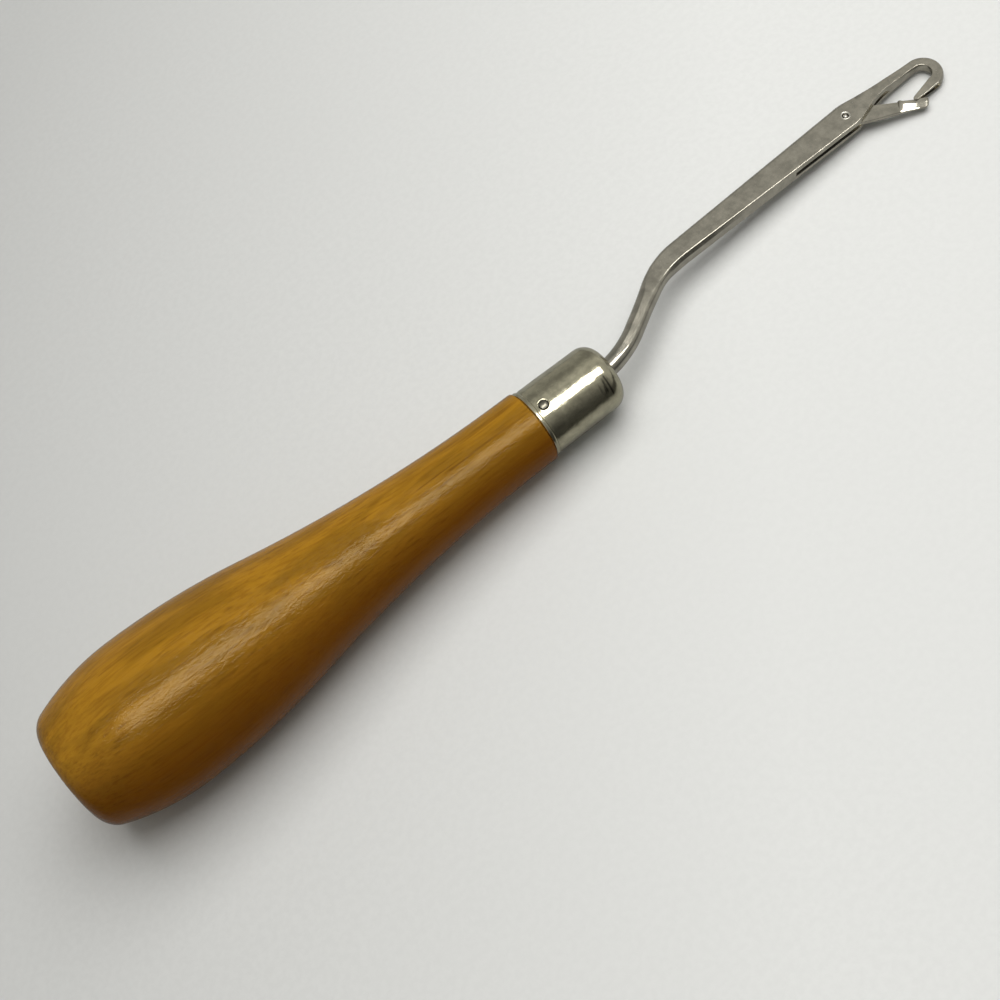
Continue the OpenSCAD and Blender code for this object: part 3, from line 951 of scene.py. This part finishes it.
def grained(tree, place, along, across, lean=0, **kind):
    """Noise drawn out along the tool. along and across are its scales per millimetre, and
    lean turns it in the plane of the flats, in degrees."""
    turn = (0, 0, math.radians(lean))
    where = add(tree, "Mapping", {0: place, 2: turn, 3: (along, across, across)}).outputs[0]
    return noise(tree, where, **kind)


def bumped(tree, height, distance, strength=1.0, under=None):
    """A normal bent by a height of so many metres, on top of another such normal if given."""
    values = {"Strength": strength, "Distance": distance, "Height": height}
    if under is not None:
        values["Normal"] = under
    return add(tree, "Bump", values).outputs[0]


def new_material(name):
    """An empty material with its shader, and the coordinates on the tool in millimetres."""
    material = bpy.data.materials.new(name)
    material.use_nodes = True
    tree = material.node_tree
    tree.nodes.clear()
    shader = add(tree, "BsdfPrincipled")
    add(tree, "OutputMaterial", {0: shader.outputs[0]})
    place = add(tree, "Attribute", attribute_name="tool_mm").outputs["Vector"]
    return material, tree, shader, place


def wood_material(s):
    """Wood under amber varnish, with dark patches, streaks and flecks that run with the
    grain, painted shade that makes the near side darker and redder, and a gloss that the
    wrinkled skin breaks up."""
    material, tree, shader, place = new_material("varnished_wood")
    streak_and_shade_colour, dark = (*s.streak_and_side_shade, 1), (*(c * 0.7 for c in s.varnish), 1)
    broad = grained(tree, place, 0.05, 0.34, 12, detail=4.0, rough=0.55, warp=0.4)
    colour = blend(tree, ramp(tree, broad, 0.38, 0.62), (*s.varnish, 1), dark)
    streaks = ramp(tree, grained(tree, place, 0.12, 2.6, 7, rough=0.6), 0.42, 0.72)
    colour = blend(tree, times(tree, streaks, 0.35), colour, streak_and_shade_colour)

    # Painted shade: the near side, turned away from the lamp, is darker and redder. It fades
    # towards the axis and so on the butt's face
    across = vector_node(tree, "MULTIPLY", place, (0, 1, 1))
    y = add(tree, "SeparateXYZ", {0: vector_node(tree, "NORMALIZE", across)}).outputs[1]
    side = ramp(tree, math_node(tree, "MULTIPLY_ADD", broad, 0.5, y), -0.05, -0.8)
    outer = ramp(tree, vector_node(tree, "LENGTH", across), 1.5, 5.4)
    share = times(tree, times(tree, side, outer), 0.85)
    colour = blend(tree, share, colour, streak_and_shade_colour)

    # Flecks are small islands of noise, longer than they are wide, and lie in patches
    lines = ramp(tree, grained(tree, place, 0.14, 2.6, 10, detail=1.0), 0.58, 0.7)
    tiny = ramp(tree, grained(tree, place, 0.9, 5.0, 8, detail=1.0), 0.7, 0.8)
    flecks = math_node(tree, "ADD", lines, tiny, clamp=True)
    patchy = ramp(tree, grained(tree, place, 0.06, 0.2, detail=2.0), 0.35, 0.65)
    flecks = times(tree, flecks, times(tree, patchy, 0.3))
    colour = blend(tree, flecks, colour, (*s.dark_grain, 1))

    # The varnish
    wrinkles = grained(tree, place, 0.8, 1.9, 24, rough=0.6, warp=0.8)
    waves = grained(tree, place, 0.35, 1.2, 12, detail=2.0, rough=0.6, warp=0.5)
    connect(tree, shader, {
        "Base Color": colour,
        "Roughness": ramp(tree, wrinkles, 0.38, 0.62, 0.03, 0.24, "LINEAR"),
        "Specular IOR Level": 0.18,
        "Specular Tint": (1.0, 0.88, 0.58, 1),
        "Normal": bumped(tree, wrinkles, WRINKLE, under=bumped(tree, waves, WRINKLE)),
    })
    return material


def metal_material(name, tint, roughness, waves, mottle, along=0.6, painted_marks=None):
    """Metal: a mirror dulled by fine scratches, with low waves and darker blotches.

    waves is their height in millimetres, mottle is how much darker the blotches are, and
    along is the scale of the scratches along the tool. painted_marks, if given, takes the tree
    and the place on the tool and gives the share of painted shade and painted dark reflection.
    """
    material, tree, shader, place = new_material(name)
    dark = (*(c * (1 - mottle) for c in tint), 1)
    blotch = ramp(tree, noise(tree, place, 0.55, 5.0, 0.6), 0.3, 0.72)
    colour = blend(tree, blotch, (*tint, 1), dark)
    speck = ramp(tree, noise(tree, place, 3.2, 3.0, 0.6), 0.5, 0.8)
    colour = blend(tree, times(tree, speck, mottle * 1.4, clamp=True), colour, dark)
    # Painted shade and painted dark reflection, where painted_marks gives them
    if painted_marks:
        colour = blend(tree, times(tree, painted_marks(tree, place), 0.85), colour, PAINTED_DARK)
    fine = grained(tree, place, along, 5.0, detail=4.0, rough=0.6)
    low = bumped(tree, noise(tree, place, 0.45, 2.0, 0.55), waves * MM)
    smooth, dull = roughness * 0.75, roughness * 1.35
    connect(tree, shader, {
        "Base Color": colour,
        "Metallic": 1.0,
        "Roughness": ramp(tree, fine, 0.25, 0.8, smooth, dull, "LINEAR"),
        "Normal": bumped(tree, fine, SCRATCH, 0.6, low),
    })
    return material


def ferrule_painted_marks(s):
    """Where the ferrule is painted dark, as metal_material asks for it: painted shade in a ring
    on the wall of the pin's hollow, a painted dark reflection in a line across the ferrule
    at the nose's shoulder, and a painted dark smudge of that reflection round the line."""
    r = s.outer / 2 / MM
    pin = (s.pin_place / MM, -r * math.sin(s.pin_turn), r * math.cos(s.pin_turn))
    reflected_line = (REFLECTED_LINE_X, r * math.cos(REFLECTED_LINE_TURN), r * math.sin(REFLECTED_LINE_TURN))

    def painted_marks(tree, place):
        # Painted shade on the wall of the pin's hollow
        ring = apart(tree, vector_node(tree, "DISTANCE", place, pin), PIN_SHADE_RING)
        from_reflected_line = vector_node(tree, "DISTANCE", place, reflected_line)
        x = add(tree, "SeparateXYZ", {0: place}).outputs[0]
        # A painted dark reflection: a line across the ferrule at the nose's shoulder
        line = ramp(tree, apart(tree, x, REFLECTED_LINE_X), 0.18, 0.05)
        line = times(tree, line, ramp(tree, from_reflected_line, 1.9, 1.5))
        # A painted dark smudge of that reflection round the line
        cloud = ramp(tree, grained(tree, place, 2.2, 0.5, detail=2.0), 0.45, 0.7)
        reflected_smudge = times(tree, cloud, ramp(tree, from_reflected_line, 2.4, 0.6))
        marks = math_node(tree, "MAXIMUM", line, reflected_smudge)
        return math_node(tree, "MAXIMUM", ramp(tree, ring, 0.2, 0.1), marks)

    return painted_marks


def rivet_material(s):
    """Bright steel, with painted shade that darkens the punched ring."""
    material, tree, shader, place = new_material("rivet_steel")
    flat = vector_node(tree, "MULTIPLY", place, (1, 1, 0))
    from_middle = vector_node(tree, "DISTANCE", flat, (*rivet_middle(s), 0))
    # Painted shade in the punched ring
    groove_shade_share = ramp(tree, apart(tree, from_middle, RIVET_SHADE_RING), 0.17, 0.07)
    colour = blend(tree, groove_shade_share, BRIGHT_STEEL, GROOVE_SHADE)
    connect(tree, shader, {"Base Color": colour, "Metallic": 1.0, "Roughness": 0.36})
    return material


def table_material(s):
    """A matt pale table top with a faint tooth, and painted shade that makes it a little darker
    towards the butt.

    Painted shade in reflections: metal mirrors it darker all over, and its near part as dark as
    the room there.
    """
    material, tree, shader, _ = new_material("pale_table")
    where = add(tree, "TexCoord").outputs["Object"]
    shade = (*(c * 0.965 for c in s.table), 1)
    tooth = ramp(tree, noise(tree, where, 900.0, 3.0, 0.6), 0.3, 0.7)
    colour = blend(tree, tooth, (*s.table, 1), shade)
    cloud = ramp(tree, noise(tree, where, 9.0, 2.0), 0.35, 0.7)
    colour = blend(tree, times(tree, cloud, 0.5), colour, shade)
    # Painted shade: the table darkens towards the butt, standing in for the light falling off
    # there
    right = tuple(np.array(CAMERA_RIGHT) @ tool_axes())
    to_right = vector_node(tree, "DOT_PRODUCT", where, right)
    painted_falloff = ramp(tree, to_right, 0.03, -0.11, kind="LINEAR")
    colour = blend(tree, times(tree, painted_falloff, 0.3), colour, BLACK)
    # Painted shade in reflections: mirrored rays see the table darker all over, and its near
    # part as dark as the room
    to_far = vector_node(tree, "DOT_PRODUCT", where, tuple(tool_axes()[1]))
    mirrored = add(tree, "LightPath").outputs["Is Glossy Ray"]
    near = times(tree, ramp(tree, to_far, -0.012, -0.024), mirrored)
    colour = blend(tree, near, colour, MIRRORED_SHADE)
    colour = blend(tree, times(tree, mirrored, 0.5), colour, BLACK)
    connect(tree, shader, {"Base Color": colour, "Roughness": 0.6, "Specular IOR Level": 0.15})
    return material


# Operators


class LATCHHOOK_OT_handle(bpy.types.Operator):
    """Turns the varnished wooden handle"""

    bl_idname = "latch_hook.handle"
    bl_label = "Handle"

    def execute(self, context):
        s = context.scene.latch_hook_handle
        piece = piece_from("wooden_handle", spun(handle_profile(s), 220))
        finish_piece(piece, wood_material(s), "handle", crease=35)
        return {"FINISHED"}


class LATCHHOOK_OT_ferrule(bpy.types.Operator):
    """Spins the nickel plated ferrule and sets its pin"""

    bl_idname = "latch_hook.ferrule"
    bl_label = "Ferrule"

    def execute(self, context):
        s = context.scene.latch_hook_ferrule
        points = pin_dimple(spun(ferrule_profile(s), 288), s)
        piece = piece_from("ferrule_cap", points, hollow=True)
        plate = metal_material("nickel_plate", s.plate, 0.15, 0.06, 0.3, painted_marks=ferrule_painted_marks(s))
        finish_piece(piece, plate, "ferrule", crease=40)
        node = frame["nodes"]["ferrule_pin"]
        node.data.materials.clear()
        node.data.materials.append(metal_material("pin_steel", PIN_STEEL, 0.3, 0.01, 0.2))
        return {"FINISHED"}


class LATCHHOOK_OT_shank(bpy.types.Operator):
    """Forges the shank, cuts its slot and drills it for the rivet"""

    bl_idname = "latch_hook.shank"
    bl_label = "Shank and hook"

    def execute(self, context):
        s = context.scene.latch_hook_shank
        piece = piece_from("forged_hook", shank_surface(s))
        cut_away(piece, slot_cutter(s), hole_cutter(s))
        steel = metal_material("worn_steel", s.steel, 0.22, 0.02, 0.3, along=4.0)
        finish_piece(piece, steel, "hook_shank", crease=19)
        return {"FINISHED"}


class LATCHHOOK_OT_latch(bpy.types.Operator):
    """Stamps the latch with its cup and sets the rivet"""

    bl_idname = "latch_hook.latch"
    bl_label = "Latch and rivet"

    def execute(self, context):
        shank = context.scene.latch_hook_shank
        s = context.scene.latch_hook_latch
        points = from_rivet(latch_surface(s), shank, RISE - LATCH_SLOPE)
        piece = piece_from("cupped_latch", points)
        r, flat = shank.rivet / 2 / MM, shank.flat / 2 / MM
        drill_r = r + 0.04
        drill = np.array([[-1, drill_r], [1, drill_r]])
        cut_away(piece, disc("latch_drill", (0, 0), drill, shank, 64))
        steel = metal_material("latch_steel", shank.steel, 0.2, 0.008, 0.26, along=4.0)
        finish_piece(piece, steel, "latch", crease=32)
        top = rivet_end(flat, r)
        profile = np.concatenate([top * [-1, 1], top[::-1]])
        profile[:, 1] = np.maximum(profile[:, 1], 0.01)
        rivet = disc("rivet_ends", (0, 0), profile, shank, 64)
        finish_piece(rivet, rivet_material(shank), "latch_rivet", crease=40)
        return {"FINISHED"}


# The camera's place on the tool's axes in millimetres, and its directions there
CAMERA_PLACE = (-47.3, -113.7, 202.7)
CAMERA_RIGHT = (0.7837, -0.5958, -0.1756)
CAMERA_AHEAD = (0.1557, 0.4621, -0.873)

# The room's greys, from the near side over the top to the far side
ROOM_GREYS = (
    (0.0, 0.07), (0.026, 0.13), (0.06, 0.19), (0.11, 0.32), (0.18, 0.46), (0.35, 0.7),
    (0.57, 0.64), (0.66, 0.86), (0.76, 0.64), (0.84, 0.41), (0.9, 0.39), (1.0, 0.52),
)


class LATCHHOOK_OT_stage(bpy.types.Operator):
    """Sets the table, the lamps, the room and the camera"""

    bl_idname = "latch_hook.stage"
    bl_label = "Stage"

    def execute(self, context):
        scene = context.scene
        s = scene.latch_hook_stage
        scene.view_settings.view_transform = "Standard"
        make_table(s)
        make_lamp("key_lamp", s.key, tool_direction(79, 10), 0.6, (0.66, 0.66), False)
        make_lamp("strip_lamp", s.strip, tool_direction(105, 5), 1.0, (1.1, 0.36), True)
        make_room(scene)
        scene.camera = make_camera()
        return {"FINISHED"}


def make_table(s):
    """A flat table top under the tool, at the bottom of its box."""
    mesh = bpy.data.meshes.new("table_top")
    half = 3.0
    corners = [(-half, -half, 0), (half, -half, 0), (half, half, 0), (-half, half, 0)]
    mesh.from_pydata(corners, [], [(0, 1, 2, 3)])
    mesh.materials.append(table_material(s))
    placed("table_top", mesh)


def tool_direction(across, along):
    """A direction in the row frame. across is the angle from the tool's Y over Z, and along
    leans it towards X, both in degrees."""
    a, b = math.radians(across), math.radians(along)
    on_tool = [math.sin(b), math.cos(a) * math.cos(b), math.sin(a) * math.cos(b)]
    return Vector(np.array(on_tool) @ tool_axes())


def make_lamp(name, power, towards, distance, size, mirrored):
    """A soft lamp that faces the ferrule from a direction and a distance, with its longer
    side along the tool. A mirrored lamp shows in the metal and the varnish alone, and the
    other kind lights the table and casts the shadow."""
    light = bpy.data.lights.new(name, "AREA")
    light.shape = "RECTANGLE"
    light.size, light.size_y = size
    light.energy = power
    light.color = (1.0, 0.99, 0.97)
    lamp = placed(name, light)
    x = Vector(tool_axes()[0])
    y = towards.cross(x).normalized()
    turn = Matrix([y.cross(towards), y, towards]).transposed()
    lamp.matrix_world = Matrix.Translation(towards * distance) @ turn.to_4x4()
    lamp.visible_glossy = mirrored
    lamp.visible_diffuse = not mirrored


def make_room(scene):
    """The room round the tool: dark behind the camera, brightest overhead, and a middle
    grey on the far side. It fills the shadows with less light than the metal mirrors, and
    the camera itself sees a pale wall."""
    world = bpy.data.worlds.new("room")
    world.use_nodes = True
    tree = world.node_tree
    tree.nodes.clear()
    way = add(tree, "TexCoord").outputs["Generated"]
    to_far = vector_node(tree, "DOT_PRODUCT", way, tuple(tool_axes()[1]))
    greys = add(tree, "ValToRGB", {0: math_node(tree, "MULTIPLY_ADD", to_far, 0.5, 0.5)})
    elements = greys.color_ramp.elements
    for place, _ in ROOM_GREYS[1:-1]:
        elements.new(place)
    for element, (place, grey) in zip(elements, ROOM_GREYS):
        element.position = place
        element.color = (grey, grey * 0.99, grey * 0.94, 1)
    ray = add(tree, "LightPath").outputs
    strength = ramp(tree, ray["Is Glossy Ray"], 0, 1, 0.48, 0.66, "LINEAR")
    room = add(tree, "Background", {0: greys.outputs[0], 1: strength}).outputs[0]
    wall = add(tree, "Background", {0: PALE_WALL, 1: 1.0}).outputs[0]
    back = add(tree, "MixShader", {0: ray["Is Camera Ray"], 1: room, 2: wall}).outputs[0]
    add(tree, "OutputWorld", {0: back})
    scene.world = world


def make_camera():
    """The camera's view, as found from the ferrule's circles and the shank's flats."""
    data = bpy.data.cameras.new("camera")
    data.sensor_width = 36.0
    data.lens = 57.6
    data.clip_start = 0.01
    data.clip_end = 20.0
    camera = placed("camera", data)
    place = to_row(np.array(CAMERA_PLACE) * MM)
    right = np.array(CAMERA_RIGHT) @ tool_axes()
    ahead = unit(np.array(CAMERA_AHEAD) @ tool_axes())
    right = unit(right - ahead * (ahead @ right))
    up = np.cross(right, ahead)
    turn = Matrix(np.stack([right, up, -ahead]).tolist()).transposed()
    camera.matrix_world = Matrix.Translation(place.tolist()) @ turn.to_4x4()
    return camera


class LATCHHOOK_PT_panel(bpy.types.Panel):
    """Lists the steps and the sizes in the sidebar"""

    bl_label = "Latch hook"
    bl_idname = "LATCHHOOK_PT_panel"
    bl_space_type = "VIEW_3D"
    bl_region_type = "UI"
    bl_category = "Latch hook"

    def draw(self, context):
        for operator in OPERATORS:
            self.layout.operator(operator.bl_idname)
        for group, settings in SETTINGS.items():
            box = self.layout.box()
            values = getattr(context.scene, group)
            for name in settings.__annotations__:
                box.prop(values, name)


SETTINGS = {
    "latch_hook_handle": HandleSettings,
    "latch_hook_ferrule": FerruleSettings,
    "latch_hook_shank": ShankSettings,
    "latch_hook_latch": LatchSettings,
    "latch_hook_stage": StageSettings,
}

OPERATORS = (
    LATCHHOOK_OT_handle,
    LATCHHOOK_OT_ferrule,
    LATCHHOOK_OT_shank,
    LATCHHOOK_OT_latch,
    LATCHHOOK_OT_stage,
)


def register():
    """Registers every class and hangs the settings on the scene."""
    for group, settings in SETTINGS.items():
        bpy.utils.register_class(settings)
        setattr(bpy.types.Scene, group, bpy.props.PointerProperty(type=settings))
    for operator in OPERATORS:
        bpy.utils.register_class(operator)
    bpy.utils.register_class(LATCHHOOK_PT_panel)


def unregister():
    """Takes everything back that register made."""
    bpy.utils.unregister_class(LATCHHOOK_PT_panel)
    for operator in reversed(OPERATORS):
        bpy.utils.unregister_class(operator)
    for group, settings in SETTINGS.items():
        delattr(bpy.types.Scene, group)
        bpy.utils.unregister_class(settings)


def main():
    """Makes the pieces in order."""
    register()
    for operator in OPERATORS:
        group, name = operator.bl_idname.split(".")
        getattr(getattr(bpy.ops, group), name)()


if __name__ == "__main__":
    main()
